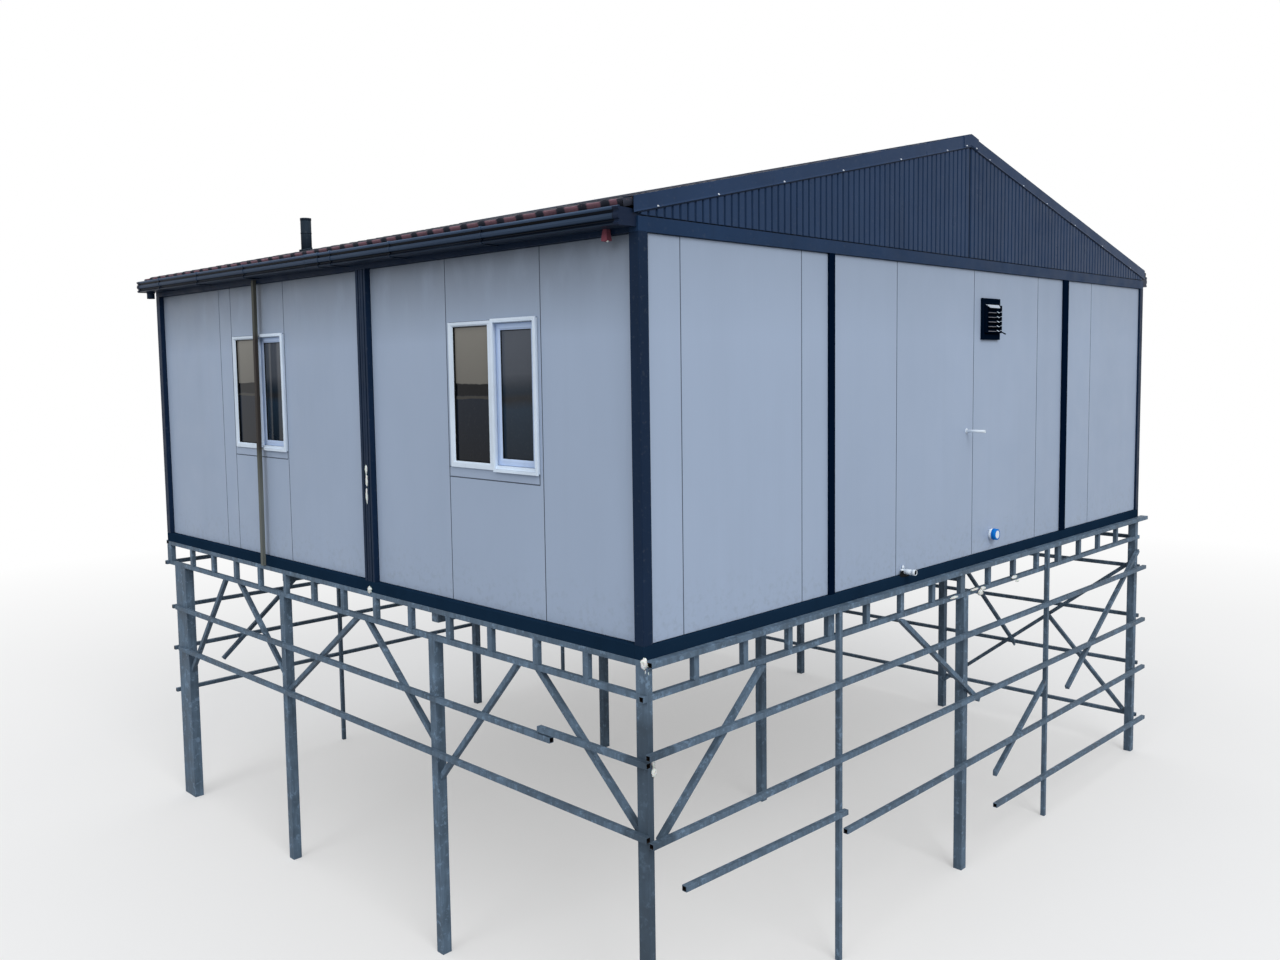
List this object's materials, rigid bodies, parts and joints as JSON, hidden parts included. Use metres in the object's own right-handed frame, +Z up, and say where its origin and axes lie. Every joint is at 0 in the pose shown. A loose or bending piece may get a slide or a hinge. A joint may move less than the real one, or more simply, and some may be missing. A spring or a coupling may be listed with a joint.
{
  "type": "prefabricated house on a steel understructure",
  "caption": "Small prefabricated house of grey wall panels with a low gable roof, box gutters and white windows, raised on a braced steel understructure",
  "frame": {"origin": "centre of the footprint at the feet of the understructure posts", "axes": "+X along the front gable wall to the right, +Y from the front gable to the rear gable, +Z up"},
  "size_m": [8.35, 7.27, 6.3904],
  "materials": {
    "primer_steel": "matt primer",
    "frame_paint": "satin dark blue grey",
    "panel_paint": "satin light grey",
    "floor_board": "plain board",
    "roof_paint": "matt red-brown",
    "white_frame": "smooth white",
    "window_pane": "clear",
    "door_paint": "satin light grey",
    "gutter_plastic": "anthracite",
    "timber": "weathered",
    "flue_metal": "weathered",
    "black_plastic": "black",
    "pipe_plastic": "white and blue"
  },
  "bodies": {
    "root": {"main_posts": "primer_steel", "slim_posts": "primer_steel", "gable_upper_chords": "primer_steel", "side_upper_chords": "primer_steel", "gable_lower_chords": "primer_steel", "side_lower_chords": "primer_steel", "gable_studs": "primer_steel", "side_studs": "primer_steel", "gable_rails": "primer_steel", "side_rails": "primer_steel", "gable_braces": "primer_steel", "side_braces": "primer_steel", "long_floor_beam": "primer_steel", "cross_floor_beams": "primer_steel", "gable_base_rails": "frame_paint", "side_base_rails": "frame_paint", "corner_posts": "frame_paint", "gable_wall_strips": "frame_paint", "side_wall_posts": "frame_paint", "gable_top_beams": "frame_paint", "side_top_beams": "frame_paint", "rake_trims": "frame_paint", "ridge_beam": "frame_paint", "king_posts": "frame_paint", "gable_cladding": "frame_paint", "front_wall": "panel_paint", "rear_wall": "panel_paint", "left_wall": "panel_paint", "right_wall": "panel_paint", "ceiling_panel": "panel_paint", "floor_panel": "floor_board", "left_roof_sheet": "roof_paint", "right_roof_sheet": "roof_paint", "ridge_cap": "roof_paint", "window_frames": "white_frame", "screen_frames": "white_frame", "window_glass": "window_pane", "door_frame": "door_paint", "rear_door": "door_paint", "gutters": "gutter_plastic", "wall_strip": "timber", "flue_pipe": "flue_metal", "wall_vent": "black_plastic", "pipe_stub": "pipe_plastic", "drain_spout": "pipe_plastic"}
  },
  "joints": []
}
